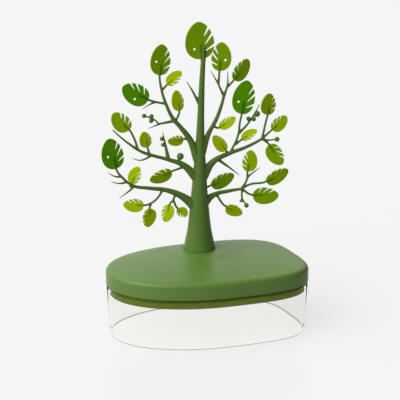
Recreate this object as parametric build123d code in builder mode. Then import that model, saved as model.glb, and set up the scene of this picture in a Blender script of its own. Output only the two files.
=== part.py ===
from build123d import *
import math
import os

os.makedirs("parts", exist_ok=True)

# Jewelry tree: a moulded tree with clip-on leaves stands on the lid of a clear
# storage tray. X runs along the tray, Y towards its back, Z up. The origin is
# the middle of the tray's underside. Sizes are in millimetres.

# Plan outline shared by the tray, the seal and the lid: a rounded pebble
PLAN_HALF_LENGTH = 106.5
PLAN_HALF_DEPTH = 70.0
PLAN_SQUARENESS = 2.65
PLAN_POINTS = 28

# Clear tray
TRAY_HEIGHT = 52.0
TRAY_WALL = 2.2
TRAY_FLOOR = 2.6
TRAY_RIM_INSET = 1.2
TRAY_DRAFT = 4.3
TRAY_FOOT_RADIUS = 2.4

# Lid shell
SKIRT_HEIGHT = 18.5
SKIRT_WALL = 2.4
LID_WALL = 4.6
LID_TOP_WALL = 3.0
DOME_RISE = 6.5
LID_EDGE_RADIUS = 4.5
SWELL_RISE = 2.4
SWELL_REACH = 36.0
SWELL_EDGE_RISE = 4.4
SWELL_COLLAR = 3.0
SWELL_TOP_SLOPE = -0.15
SWELL_EDGE_SLOPE = -0.03
SEAT_RECESS = 0.6

# Seal ring pressed into the skirt
SEAL_DROP = 6.0
SEAL_TOP = 6.0
SEAL_WALL = 2.2
SEAL_FIT = 0.1
SEAL_TRAY_GAP = 0.3

# Trunk foot
TREE_Y = 28.0
TRUNK_FOOT_RADIUS = 17.0
SEAT_FIT = 0.3
SPIGOT_RADIUS = 11.5
SPIGOT_DEPTH = 8.0
SPIGOT_FIT = 0.1
SOCKET_FLOOR = 3.0
SOCKET_WALL = 2.5

# Screw and washer that hold the tree from inside the lid
SCREW_RADIUS = 1.75
SCREW_BITE = 9.0
SCREW_BITE_GAP = 0.05
SCREW_HOLE_GAP = 0.45
SCREW_HEAD_RADIUS = 3.6
SCREW_HEAD_HEIGHT = 2.4
DRIVE_RADIUS = 1.2
DRIVE_DEPTH = 1.4
WASHER_RADIUS = 6.0
WASHER_THICK = 1.0

# Leaves
BLADE = 1.5
BLADE_BACK = 0.7
PIN_RADIUS = 0.9
PIN_FIT = 0.1
PIN_SHARE = 0.30
SLEEVE_WALL = 0.8
SLEEVE_END = 1.0
SLEEVE_SIDES = 8
FOOT_GAP = 0.2
STEM_ROOT = 1.3
STEM_END = 1.15
SLIT_HALF_WIDTH = 0.028
SLIT_MOUTH_HALF_WIDTH = 0.045
STUD_HOLE_RADIUS = 1.35
STUD_HOLE_ASIDE = 0.25

# How far a joined solid runs into its neighbour, and a cut past the face it opens
OVERLAP = 1.0

# Heights and radii that follow from the sizes above
RIM_Z = TRAY_HEIGHT
FOLD_Z = RIM_Z + SKIRT_HEIGHT
DOME_Z = FOLD_Z + DOME_RISE
SWELL_Z = DOME_Z + SWELL_RISE
SEAT_Z = SWELL_Z - SEAT_RECESS
SOCKET_Z = SEAT_Z - SPIGOT_DEPTH
SOCKET_UNDER_Z = SOCKET_Z - SOCKET_FLOOR
DOME_RADIUS = (PLAN_HALF_LENGTH**2 + DOME_RISE**2) / (2 * DOME_RISE)
SEAL_STEP_Z = RIM_Z + SEAL_TOP
SEAL_FOOT_Z = RIM_Z - SEAL_DROP
SLEEVE_RADIUS = PIN_RADIUS + PIN_FIT + SLEEVE_WALL

# Trunk sections: height above the seat, sideways lean, radius
TRUNK = [
    (0, 0, TRUNK_FOOT_RADIUS),
    (7, 0, 15.0),
    (18, 0, 12.9),
    (40, 0, 10.2),
    (58, 0, 8.6),
    (76, 0, 7.2),
    (112, 0, 5.0),
    (154, 1.4, 3.5),
    (204, 4, 2.4),
    (220, 5, 1.1),
]
TIP_BASE = len(TRUNK) - 2

# Limbs: route of (x, z) points in the tree's plane, radii at equal stations
# along it, and the end's angle from upright
LIMBS = [
    (
        [(-2, 176), (-10, 198), (-20, 212), (-29, 223), (-36, 238), (-41, 254), (-43, 270)],
        (4.2, 2.4, 1.55, STEM_END), 3,
    ),
    (
        [(-2, 155), (-18, 172), (-34, 179), (-51, 185), (-63, 190), (-77, 200), (-94, 216)],
        (4.6, 1.9, 1.4, 0.7), -44,
    ),
    (
        [(-2, 122), (-18, 137), (-36, 146), (-55, 150), (-72, 154), (-84, 164), (-91, 175)],
        (5.4, 2.4, 1.6, STEM_END), -14,
    ),
    ([(2, 182), (10, 203), (19, 219), (25, 235), (27, 243)], (4.2, 2.4, 1.9, 1.5), 12),
    ([(2, 155), (16, 173), (33, 180), (51, 185), (70, 193)], (5.4, 2.5, 1.8, 1.4), 62),
    ([(2, 126), (16, 136), (34, 139), (48, 140)], (5.6, 2.7, 1.9, 1.5), 84),
]

# Longest straight span of a limb
LIMB_SPAN = 9.0

# Bare twigs: route, radius at the root and at the tip
TWIGS = [
    ([(0, 236), (-9, 253), (-14, 261)], (1.7, 0.6)),
    ([(-46, 242), (-55, 239), (-62, 235)], (1.1, 0.5)),
    ([(-28, 220), (-37, 219), (-45, 218)], (1.6, 1.0)),
    ([(-43, 218), (-50, 216), (-56, 214)], (1.0, 0.5)),
    ([(-44, 218), (-49, 223), (-55, 226), (-60, 228)], (1.0, 0.8)),
    ([(-34, 179), (-38, 199), (-40, 209)], (2.1, 0.6)),
    ([(-24, 174), (-21, 181)], (1.4, 1.2)),
    ([(-52, 185), (-64, 181), (-74, 184)], (1.3, 0.5)),
    ([(-85, 165), (-92, 166), (-100, 171)], (1.2, 0.5)),
    ([(-78, 159), (-87, 158), (-97, 161)], (1.3, 0.5)),
    ([(-71, 154), (-77, 149), (-88, 142)], (1.4, 0.5)),
    ([(27, 242), (21, 255), (15, 266), (12, 271)], (1.5, 0.5)),
    ([(27, 242), (31, 255), (31, 269)], (1.5, 0.5)),
    ([(20, 175), (33, 165), (45, 155)], (1.6, 0.6)),
    ([(44, 201), (55, 212), (63, 224), (67, 231)], (1.5, 0.6)),
    ([(69, 193), (77, 191), (86, 191)], (1.1, 0.9)),
    ([(54, 152), (59, 156), (69, 162)], (1.1, 0.5)),
    ([(48, 140), (48, 130), (53, 121)], (1.2, 0.9)),
    ([(48, 132), (47, 127)], (0.9, 0.8)),
]

# Berries and buds: centre in the tree's plane, radius
BERRIES = [
    (-60, 228, 2.3),
    (-52, 227, 2.2),
    (-52.5, 222, 2.2),
    (-41, 202, 2.2),
    (-40, 195.5, 2.0),
    (-21, 181.5, 3.7),
    (54.5, 216, 2.4),
    (60.5, 215, 2.3),
    (64, 220.5, 3.2),
    (87, 191, 2.7),
    (53, 121, 2.6),
    (47, 126.5, 1.6),
]

# Knuckles where a limb forks: centre in the tree's plane, radius
KNUCKLES = [(27, 243, 1.8), (70, 193, 1.8), (48, 140, 1.9)]

# Leaves: foot (x, z), angle from upright, length, width, side of the slits,
# turn about the stem, height of the stud hole as a share of the length, and
# the stem's points before the foot
LEAVES = {
    "leaf_left_01": ((-43, 270), 3, 32, 22, 1, 6, 0.44, []),
    "leaf_left_02": ((-35, 259), 51, 20, 12, 1, -16, 0, [(-41, 253)]),
    "leaf_left_03": ((-57, 246), -61, 31, 22, 1, 8, 0.44, [(-37, 239), (-48, 242)]),
    "leaf_left_04": ((-22, 231), -12, 22, 14, 1, 14, 0, [(-26, 219)]),
    "leaf_left_05": ((-78, 215), -42, 25, 18, 1, -10, 0, [(-68, 193), (-72, 205)]),
    "leaf_left_06": ((-57, 195), -17, 17, 14, 1, 16, 0, [(-54, 185)]),
    "leaf_left_07": ((-31, 166), -106, 25, 15, 1, -12, 0, [(-16, 170)]),
    "leaf_left_08": ((-91, 175), -14, 33, 24, 1, 8, 0.45, []),
    "leaf_left_09": ((-72, 158), 24, 19, 12, 1, -16, 0, [(-75, 154)]),
    "leaf_left_10": ((-62, 132), -82, 22, 14, 1, 12, 0, [(-40, 147), (-49, 136)]),
    "leaf_left_11": ((-55, 128), -173, 20, 14, 1, -14, 0, [(-53, 134)]),
    "leaf_left_12": ((-34, 130), -164, 19, 13, 1, 18, 0, [(-26, 142), (-29, 135)]),
    "leaf_left_13": ((-24, 125), 130, 13, 11, 1, 20, 0, [(-29, 135)]),
    "leaf_left_14": ((-18, 200), -91, 17, 12, 1, -16, 0, [(-11, 199)]),
    "leaf_right_01": ((23, 270), 4, 30, 21, -1, -8, 0.38, [(21, 255)]),
    "leaf_right_02": ((38, 259), 35, 26, 17, -1, 10, 0, [(31, 252)]),
    "leaf_right_03": ((47, 222), 9, 36, 24, 1, -6, 0.35, [(34, 180), (43, 199), (45, 213)]),
    "leaf_right_04": ((76, 219), 2, 23, 16, 1, 12, 0, [(70, 193), (74, 211)]),
    "leaf_right_05": ((47, 194), 62, 19, 10, 1, -20, 0, [(40, 189)]),
    "leaf_right_06": ((29, 184), -41, 22, 13, 1, 14, 0, [(33, 179)]),
    "leaf_right_07": ((81, 202), 50, 21, 14, -1, -10, 0, [(70, 193)]),
    "leaf_right_08": ((78, 186), 147, 27, 17, -1, 8, 0, [(70, 193)]),
    "leaf_right_09": ((54, 159), 9, 23, 16, -1, -12, 0, [(47, 140), (53, 149)]),
    "leaf_right_10": ((75, 147), 65, 27, 16, -1, 10, 0, [(47, 140), (57, 145)]),
    "leaf_right_11": ((60, 132), 96, 29, 18, -1, -8, 0, [(47, 140)]),
    "leaf_right_12": ((30, 122), 117, 20, 11, -1, 18, 0, [(19, 136)]),
    "leaf_right_13": ((13, 147), 68, 27, 16, -1, 10, 0, [(2, 143)]),
    "leaf_right_14": ((22, 209), 61, 20, 11, -1, -16, 0, [(14, 212)]),
}
TOP_LEAF = ((4, 284), -8, 40, 29, 1, 0, 0.30)
TOP_SOCKET_WALL = 1.2

# Blade outline: how far each side reaches out as a share of the width, how full
# it is, and how many straight edges it has
WHOLE_SIDE = 0.54
SLIT_SIDE = 0.46
BLADE_FULLNESS = 0.8
BLADE_EDGES = 24

# Slits: root and mouth as shares of the leaf's width and length
SLITS = [
    ((0.14, 0.68), (0.20, 0.93)),
    ((0.19, 0.49), (0.34, 0.77)),
    ((0.22, 0.30), (0.49, 0.50)),
]
SLIT_OVERRUN = 0.3


def up_at(angle):
    """Unit vector in the tree's plane, an angle clockwise from upright."""
    return Vector(math.sin(math.radians(angle)), 0, math.cos(math.radians(angle)))


def in_tree(point):
    """A point of the tree's plane."""
    return Vector(point[0], TREE_Y, point[1])


def pebble(inset):
    """The plan outline, drawn in by an inset, as a face of the open sketch."""
    points = []
    for step in range(PLAN_POINTS):
        turn = 2 * math.pi * step / PLAN_POINTS
        reach_x = abs(math.cos(turn)) ** (2 / PLAN_SQUARENESS)
        reach_y = abs(math.sin(turn)) ** (2 / PLAN_SQUARENESS)
        x = math.copysign((PLAN_HALF_LENGTH - inset) * reach_x, math.cos(turn))
        y = math.copysign((PLAN_HALF_DEPTH - inset) * reach_y, math.sin(turn))
        points.append((x, y))
    with BuildLine() as outline:
        Spline(*points, periodic=True)
    make_face(outline.edges())


def domed_block(inset, bottom, drop):
    """A pebble-shaped block under the lid's dome, lowered by a drop."""
    with BuildPart() as block:
        with BuildSketch(Plane.XY.offset(bottom)):
            pebble(inset)
        extrude(amount=DOME_Z + OVERLAP - bottom)
        with Locations((0, 0, DOME_Z - drop - DOME_RADIUS)):
            Sphere(DOME_RADIUS, mode=Mode.INTERSECT)
    return block.part


def finish(builder, name):
    """Label a finished piece and write it."""
    builder.part.label = name
    export_step(builder.part, f"parts/{name}.step")


# Clear tray: drafted wall, flat floor, rounded foot
with BuildPart() as tray:
    with BuildSketch(Plane.XY):
        pebble(TRAY_RIM_INSET + TRAY_DRAFT)
    with BuildSketch(Plane.XY.offset(TRAY_HEIGHT)):
        pebble(TRAY_RIM_INSET)
    loft(ruled=True)
    fillet(tray.edges().group_by(Axis.Z)[0], TRAY_FOOT_RADIUS)
    floor_inset = TRAY_RIM_INSET + TRAY_WALL + TRAY_DRAFT * (1 - TRAY_FLOOR / TRAY_HEIGHT)
    with BuildSketch(Plane.XY.offset(TRAY_FLOOR)):
        pebble(floor_inset)
    with BuildSketch(Plane.XY.offset(TRAY_HEIGHT)):
        pebble(TRAY_RIM_INSET + TRAY_WALL)
    loft(ruled=True, mode=Mode.SUBTRACT)
finish(tray, "tray")

# Lid: skirt and domed top, swelling gently up to the foot of the trunk
lid_block = domed_block(0, RIM_Z, 0)
lid_hollow = domed_block(LID_WALL, SEAL_STEP_Z - OVERLAP, LID_TOP_WALL)
with BuildPart() as lid:
    add(lid_block)
    fillet(lid.edges().filter_by(lambda edge: edge.center().Z > FOLD_Z - LID_EDGE_RADIUS), LID_EDGE_RADIUS)
    with BuildSketch(Plane.XZ.offset(-TREE_Y)):
        with BuildLine():
            collar = TRUNK_FOOT_RADIUS + SWELL_COLLAR
            Polyline(
                (SWELL_REACH, FOLD_Z + SWELL_EDGE_RISE),
                (SWELL_REACH, FOLD_Z - OVERLAP),
                (0, FOLD_Z - OVERLAP),
                (0, SWELL_Z),
                (collar, SWELL_Z),
            )
            Spline(
                (collar, SWELL_Z),
                (SWELL_REACH, FOLD_Z + SWELL_EDGE_RISE),
                tangents=[(1, SWELL_TOP_SLOPE), (1, SWELL_EDGE_SLOPE)],
            )
        make_face()
    revolve(axis=Axis((0, TREE_Y, 0), (0, 0, 1)))
    add(lid_hollow, mode=Mode.SUBTRACT)
    with BuildSketch(Plane.XY.offset(RIM_Z)):
        pebble(SKIRT_WALL)
    extrude(amount=SEAL_TOP, mode=Mode.SUBTRACT)
    with BuildSketch(Plane.XY.offset(SOCKET_UNDER_Z)):
        with Locations((0, TREE_Y)):
            Circle(SPIGOT_RADIUS + SOCKET_WALL)
    extrude(until=Until.NEXT)
    with Locations(Plane((0, TREE_Y, SEAT_Z))):
        Cylinder(
            TRUNK_FOOT_RADIUS + SEAT_FIT, SEAT_RECESS,
            align=(Align.CENTER, Align.CENTER, Align.MIN), mode=Mode.SUBTRACT,
        )
    with Locations(Plane((0, TREE_Y, SEAT_Z))):
        Hole(SPIGOT_RADIUS + SPIGOT_FIT, SPIGOT_DEPTH)
    with Locations(Plane((0, TREE_Y, SEAT_Z))):
        Hole(SCREW_RADIUS + SCREW_HOLE_GAP, SPIGOT_DEPTH + SOCKET_FLOOR)
finish(lid, "lid")

# Seal ring: pressed into the skirt, its drafted lip plugs the tray
with BuildPart() as seal_ring:
    lip_inset = TRAY_RIM_INSET + TRAY_WALL + SEAL_TRAY_GAP
    lip_draft = TRAY_DRAFT * SEAL_DROP / TRAY_HEIGHT
    with BuildSketch(Plane.XY.offset(SEAL_FOOT_Z)):
        pebble(lip_inset + lip_draft)
    with BuildSketch(Plane.XY.offset(RIM_Z)):
        pebble(lip_inset)
    loft(ruled=True)
    with BuildSketch(Plane.XY.offset(RIM_Z)):
        pebble(SKIRT_WALL + SEAL_FIT)
    extrude(amount=SEAL_TOP - SEAL_FIT)
    with BuildSketch(Plane.XY.offset(SEAL_FOOT_Z)):
        pebble(lip_inset + lip_draft + SEAL_WALL)
    extrude(amount=SEAL_DROP + SEAL_TOP, mode=Mode.SUBTRACT)
finish(seal_ring, "seal_ring")


def radius_at(radii, share):
    """The radius at a share of the route, between evenly spaced radii."""
    place = share * (len(radii) - 1)
    number = min(int(place), len(radii) - 2)
    return radii[number] + (radii[number + 1] - radii[number]) * (place - number)


def limb(route, radii, end=None):
    """A tapering round limb lofted along a smooth route in the tree's plane."""
    points = [in_tree(point) for point in route]
    start = (points[1] - points[0]).normalized()
    end = end or (points[-1] - points[-2]).normalized()
    with BuildLine() as line:
        Spline(*points, tangents=[start, end])
    path = line.edge()
    spans = max(2, math.ceil(path.length / LIMB_SPAN))
    with BuildPart() as branch:
        for number in range(spans + 1):
            share = number / spans
            with BuildSketch(Plane(origin=path @ share, z_dir=path % share)):
                Circle(radius_at(radii, share))
        loft(ruled=True)
    return branch.part


def trunk_plane(number):
    """The plane of one trunk section."""
    height, lean, radius = TRUNK[number]
    return Plane((lean, TREE_Y, SEAT_Z + height))


# Tree: trunk, limbs, twigs and berries in one moulding, with a pin for each leaf
branches = [limb(route, radii, up_at(angle)) for route, radii, angle in LIMBS]
branches += [limb(route, radii) for route, radii in TWIGS]
for foot, angle, length, width, side, turn, stud, stem in LEAVES.values():
    if stem:
        branches.append(limb([*stem, foot], (STEM_ROOT, STEM_END), up_at(angle)))
with BuildPart() as tree:
    for number, (height, lean, radius) in enumerate(TRUNK):
        with BuildSketch(trunk_plane(number)):
            Circle(radius)
    loft(ruled=True)
    with Locations(Plane((0, TREE_Y, SEAT_Z))):
        Cylinder(SPIGOT_RADIUS, SPIGOT_DEPTH - SPIGOT_FIT, align=(Align.CENTER, Align.CENTER, Align.MAX))
    with Locations(Plane((0, TREE_Y, SOCKET_Z), z_dir=(0, 0, -1))):
        Hole(SCREW_RADIUS + SCREW_BITE_GAP, SCREW_BITE + OVERLAP)
    add(branches)
    for foot, angle, length, *rest in LEAVES.values():
        with Locations(Plane(in_tree(foot) - up_at(angle) * OVERLAP, z_dir=up_at(angle))):
            Cylinder(PIN_RADIUS, PIN_SHARE * length + OVERLAP, align=(Align.CENTER, Align.CENTER, Align.MIN))
    for x, z, radius in BERRIES + KNUCKLES:
        with Locations(in_tree((x, z))):
            Sphere(radius)
finish(tree, "tree")

# Screw and washer below the socket floor
with BuildPart() as washer:
    with Locations(Plane((0, TREE_Y, SOCKET_UNDER_Z))):
        Cylinder(WASHER_RADIUS, WASHER_THICK, align=(Align.CENTER, Align.CENTER, Align.MAX))
        Hole(SCREW_RADIUS + SCREW_HOLE_GAP)
finish(washer, "washer")

with BuildPart() as screw:
    head_top_z = SOCKET_UNDER_Z - WASHER_THICK
    with Locations(Plane((0, TREE_Y, head_top_z))):
        Cylinder(SCREW_HEAD_RADIUS, SCREW_HEAD_HEIGHT, align=(Align.CENTER, Align.CENTER, Align.MAX))
        Cylinder(
            SCREW_RADIUS, WASHER_THICK + SOCKET_FLOOR + SCREW_BITE,
            align=(Align.CENTER, Align.CENTER, Align.MIN),
        )
    chamfer(screw.edges().group_by(Axis.Z)[0], SCREW_HEAD_HEIGHT / 4)
    chamfer(screw.edges().group_by(Axis.Z)[-1], SCREW_RADIUS / 2)
    with BuildSketch(Plane((0, TREE_Y, head_top_z - SCREW_HEAD_HEIGHT))):
        RegularPolygon(DRIVE_RADIUS, 6)
    extrude(amount=DRIVE_DEPTH, mode=Mode.SUBTRACT)
finish(screw, "screw")


def leaf_planes(foot, angle, turn):
    """A leaf's blade plane, facing the viewer, and the plane across its stem."""
    upward = up_at(angle)
    facing = Vector(0, -1, 0).rotate(Axis((0, 0, 0), upward), turn)
    across = upward.cross(facing)
    blade = Plane(in_tree(foot), x_dir=across, z_dir=facing)
    stem = Plane(in_tree(foot), x_dir=across, z_dir=upward)
    return blade, stem


def draw_blade(length, width, side, stud):
    """The blade's outline with its slits and stud hole, in the open sketch."""
    points = []
    for step in range(BLADE_EDGES):
        turn = 2 * math.pi * step / BLADE_EDGES
        reach = abs(math.sin(turn)) ** BLADE_FULLNESS
        share = -WHOLE_SIDE if step < BLADE_EDGES / 2 else SLIT_SIDE
        points.append((side * share * reach * width, length * (1 - math.cos(turn)) / 2))
    with BuildLine() as outline:
        Polyline(*points, close=True)
    make_face(outline.edges())
    for (u, v), (mouth_u, mouth_v) in SLITS:
        root = Vector(side * u * width, v * length)
        mouth = Vector(side * mouth_u * width, mouth_v * length)
        far = mouth + (mouth - root) * SLIT_OVERRUN
        aside = (mouth - root).normalized().rotate(Axis.Z, 90)
        narrow = aside * SLIT_HALF_WIDTH * width
        wide = aside * SLIT_MOUTH_HALF_WIDTH * width
        with BuildLine() as edge:
            Polyline(root + narrow, far + wide, far - wide, root - narrow, close=True)
        make_face(edge.edges(), mode=Mode.SUBTRACT)
    if stud:
        with Locations((-side * STUD_HOLE_ASIDE * width, stud * length)):
            Circle(STUD_HOLE_RADIUS, mode=Mode.SUBTRACT)


# Leaves: a flat slit blade with a sleeve on its back that grips the stem's pin
for name, (foot, angle, length, width, side, turn, stud, stem) in LEAVES.items():
    blade_plane, stem_plane = leaf_planes(foot, angle, turn)
    pin = PIN_SHARE * length
    with BuildPart() as leaf:
        with BuildSketch(blade_plane.offset(BLADE_BACK)):
            draw_blade(length, width, side, stud)
        extrude(amount=BLADE)
        with BuildSketch(stem_plane.offset(FOOT_GAP)):
            RegularPolygon(SLEEVE_RADIUS, SLEEVE_SIDES)
        extrude(amount=pin + SLEEVE_END)
        with BuildSketch(stem_plane):
            Circle(PIN_RADIUS + PIN_FIT)
        extrude(amount=pin + FOOT_GAP, mode=Mode.SUBTRACT)
    finish(leaf, name)

# Top leaf: its blade lies behind the trunk's tip, which nests in a cradle
foot, angle, length, width, side, turn, stud = TOP_LEAF
blade_plane, stem_plane = leaf_planes(foot, angle, turn)
tip_foot = trunk_plane(TIP_BASE)
tip_axis = trunk_plane(TIP_BASE + 1).origin - tip_foot.origin
with BuildPart() as trunk_room:
    for number, (height, lean, radius) in enumerate(TRUNK):
        with BuildSketch(trunk_plane(number)):
            Circle(radius + PIN_FIT)
    loft(ruled=True)
with BuildPart() as leaf_top:
    with BuildSketch(Plane(tip_foot.origin, z_dir=tip_axis)):
        Circle(TRUNK[TIP_BASE][2] + TOP_SOCKET_WALL)
    extrude(amount=tip_axis.length)
    split(bisect_by=blade_plane, keep=Keep.BOTTOM)
    with BuildSketch(blade_plane):
        draw_blade(length, width, side, stud)
    extrude(amount=-BLADE)
    add(trunk_room.part, mode=Mode.SUBTRACT)
finish(leaf_top, "leaf_top")
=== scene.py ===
import math

import bmesh
import bpy
from mathutils import Matrix, Vector


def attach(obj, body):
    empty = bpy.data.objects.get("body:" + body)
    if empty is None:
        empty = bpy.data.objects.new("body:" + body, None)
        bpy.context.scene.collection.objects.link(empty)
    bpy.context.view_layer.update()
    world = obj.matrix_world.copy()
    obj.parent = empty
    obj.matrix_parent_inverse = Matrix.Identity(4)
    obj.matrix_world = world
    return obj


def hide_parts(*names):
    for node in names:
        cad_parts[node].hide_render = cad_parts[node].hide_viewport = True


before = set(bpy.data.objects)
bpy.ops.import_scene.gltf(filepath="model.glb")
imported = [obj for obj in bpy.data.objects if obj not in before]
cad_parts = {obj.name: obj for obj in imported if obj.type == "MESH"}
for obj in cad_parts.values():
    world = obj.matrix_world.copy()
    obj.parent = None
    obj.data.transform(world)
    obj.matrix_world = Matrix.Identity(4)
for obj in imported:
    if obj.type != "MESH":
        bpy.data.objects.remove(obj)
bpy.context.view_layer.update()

MM = 0.001


def math_node(nodes, operation, operand=None):
    """A Math node, with its second value set where one is given."""
    node = nodes.new("ShaderNodeMath")
    node.operation = operation
    if operand is not None:
        node.inputs[1].default_value = operand
    return node


def range_node(nodes, source, result, smooth=False):
    """A Map Range node from one pair of values to another, clamped to the ends."""
    node = nodes.new("ShaderNodeMapRange")
    node.interpolation_type = "SMOOTHSTEP" if smooth else "LINEAR"
    node.inputs["From Min"].default_value, node.inputs["From Max"].default_value = source
    node.inputs["To Min"].default_value, node.inputs["To Max"].default_value = result
    return node


# Moulding skin, shared by every green piece: the slow drift of colour that
# pigment leaves in moulded plastic, and the fine grain of a satin mould. It is
# a node group, so that each finish places it with its own values.
DRIFT_DETAIL = 3
GRAIN_DETAIL = 2
MEAN_NOISE = 0.5
ROUGHNESS_DRIFT = 0.12


def build_moulding_skin():
    """The node group: colour, roughness and height that vary over the surface."""
    group = bpy.data.node_groups.new("moulding_skin", "ShaderNodeTree")
    inputs = [
        ("Colour", "NodeSocketColor", (0.2, 0.4, 0.1, 1)),
        ("Drift", "NodeSocketFloat", 0.08),
        ("Drift Scale", "NodeSocketFloat", 30),
        ("Roughness", "NodeSocketFloat", 0.4),
        ("Grain Scale", "NodeSocketFloat", 900),
    ]
    for name, kind, value in inputs:
        socket = group.interface.new_socket(name, in_out="INPUT", socket_type=kind)
        socket.default_value = value
    for name, kind in [("Colour", "Color"), ("Roughness", "Float"), ("Height", "Float")]:
        group.interface.new_socket(name, in_out="OUTPUT", socket_type="NodeSocket" + kind)
    nodes, links = group.nodes, group.links
    given = nodes.new("NodeGroupInput")
    result = nodes.new("NodeGroupOutput")
    place = nodes.new("ShaderNodeTexCoord")

    drift = nodes.new("ShaderNodeTexNoise")
    drift.inputs["Detail"].default_value = DRIFT_DETAIL
    links.new(place.outputs["Object"], drift.inputs["Vector"])
    links.new(given.outputs["Drift Scale"], drift.inputs["Scale"])
    centred = math_node(nodes, "SUBTRACT", MEAN_NOISE)
    links.new(drift.outputs["Fac"], centred.inputs[0])
    shade = math_node(nodes, "MULTIPLY_ADD")
    shade.inputs[2].default_value = 1
    links.new(centred.outputs[0], shade.inputs[0])
    links.new(given.outputs["Drift"], shade.inputs[1])
    tint = nodes.new("ShaderNodeVectorMath")
    tint.operation = "SCALE"
    links.new(given.outputs["Colour"], tint.inputs[0])
    links.new(shade.outputs[0], tint.inputs["Scale"])
    links.new(tint.outputs[0], result.inputs["Colour"])

    grain = nodes.new("ShaderNodeTexNoise")
    grain.inputs["Detail"].default_value = GRAIN_DETAIL
    links.new(place.outputs["Object"], grain.inputs["Vector"])
    links.new(given.outputs["Grain Scale"], grain.inputs["Scale"])
    links.new(grain.outputs["Fac"], result.inputs["Height"])
    satin = math_node(nodes, "MULTIPLY_ADD", ROUGHNESS_DRIFT)
    links.new(centred.outputs[0], satin.inputs[0])
    links.new(given.outputs["Roughness"], satin.inputs[2])
    links.new(satin.outputs[0], result.inputs["Roughness"])
    return group


moulding_skin = build_moulding_skin()


def satin_plastic(name, colour, roughness, drift, drift_scale, grain_depth):
    """A satin moulded plastic: the moulding skin on one Principled shader."""
    material = bpy.data.materials.new(name)
    material.use_nodes = True
    nodes, links = material.node_tree.nodes, material.node_tree.links
    shader = nodes["Principled BSDF"]
    skin = nodes.new("ShaderNodeGroup")
    skin.node_tree = moulding_skin
    skin.inputs["Colour"].default_value = (*colour, 1)
    skin.inputs["Roughness"].default_value = roughness
    skin.inputs["Drift"].default_value = drift
    skin.inputs["Drift Scale"].default_value = drift_scale
    bump = nodes.new("ShaderNodeBump")
    bump.inputs["Distance"].default_value = grain_depth
    links.new(skin.outputs["Colour"], shader.inputs["Base Color"])
    links.new(skin.outputs["Roughness"], shader.inputs["Roughness"])
    links.new(skin.outputs["Height"], bump.inputs["Height"])
    links.new(bump.outputs["Normal"], shader.inputs["Normal"])
    return material, skin, shader


def dress(piece, material):
    """Gives a piece one material on all its faces."""
    piece.data.materials.clear()
    piece.data.materials.append(material)


# Clear tray: injection-moulded clear styrene with a drafted wall, a round foot
# and a flat floor, open at the top. Its plan is a pebble whose left end is rounder
# than its right, and whose long axis leans. The seal ring's flange covers its rim.
PLAN_LEFT = 107.9
PLAN_RIGHT = 99.6
PLAN_HALF_DEPTH = 69.4
PLAN_LEFT_SQUARENESS = 2.1
PLAN_RIGHT_SQUARENESS = 3.4
PLAN_LEAN = -0.075
PLAN_STEPS = 160
TRAY_HEIGHT = 52.0
TRAY_WALL = 2.2
TRAY_FLOOR = 2.6
TRAY_RIM_INSET = 0.6
TRAY_DRAFT = 3.0
TRAY_FOOT_RADIUS = 2.4
TRAY_CORNER_RADIUS = 1.6
TRAY_RIM_RADIUS = 0.6
SHELL_SHARP_ANGLE = 40

# Clear styrene: its own tint face-on, a painted dark shade where the wall is seen
# edge-on, standing for the dark lines that bent light draws there, and an index
# near 1, since light passes a thin wall nearly straight
CLEAR_TINT = (0.972, 0.971, 0.958)
PAINTED_EDGE_SHADE = (0.20, 0.17, 0.12)
THIN_WALL_IOR = 1.02
TRAY_GLOSS = 0.1
TRAY_GLOSS_ROUGHNESS = 0.03
MOST_HAZE = 0.03
FLOW_SCALE = 60
EDGE_SHADE_START = 0.92

# Faces of the tray's foot that are seen edge-on and get the painted dark shade line:
# how far their normals tilt down
SHADE_LINE_LEAST_TILT = 0.30
SHADE_LINE_MOST_TILT = 0.70


def turn_of(step):
    """The turn of one side of a plan outline."""
    return 2 * math.pi * step / PLAN_STEPS


def support(turn, inset):
    """Distance from the middle to the outline's tangent line that faces a turn."""
    along = math.cos(turn)
    aside = math.sin(turn) + PLAN_LEAN * along
    half_length = PLAN_RIGHT if along > 0 else PLAN_LEFT
    squareness = PLAN_RIGHT_SQUARENESS if along > 0 else PLAN_LEFT_SQUARENESS
    power = squareness / (squareness - 1)
    reach = abs(half_length * along) ** power + abs(PLAN_HALF_DEPTH * aside) ** power
    return reach ** (1 / power) - inset


def ring(supports, z):
    """The corners, at one height, of an outline given by its tangent lines."""
    corners = []
    for step, near in enumerate(supports):
        turn, after = turn_of(step), turn_of(step + 1)
        far = supports[(step + 1) % PLAN_STEPS]
        x = near * math.sin(after) - far * math.sin(turn)
        y = far * math.cos(turn) - near * math.cos(after)
        scale = MM / math.sin(after - turn)
        corners.append(Vector((x * scale, y * scale, z * MM)))
    return corners


def pebble(inset, z):
    """The plan outline at one height, drawn in by an inset."""
    return ring([support(turn_of(step), inset) for step in range(PLAN_STEPS)], z)


def quarter(radius, steps=6):
    """Pairs of the two legs of a quarter round, from (0, 0) to (radius, radius)."""
    turns = [math.pi / 2 * step / steps for step in range(steps + 1)]
    return [(radius * (1 - math.cos(turn)), radius * math.sin(turn)) for turn in turns]


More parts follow.
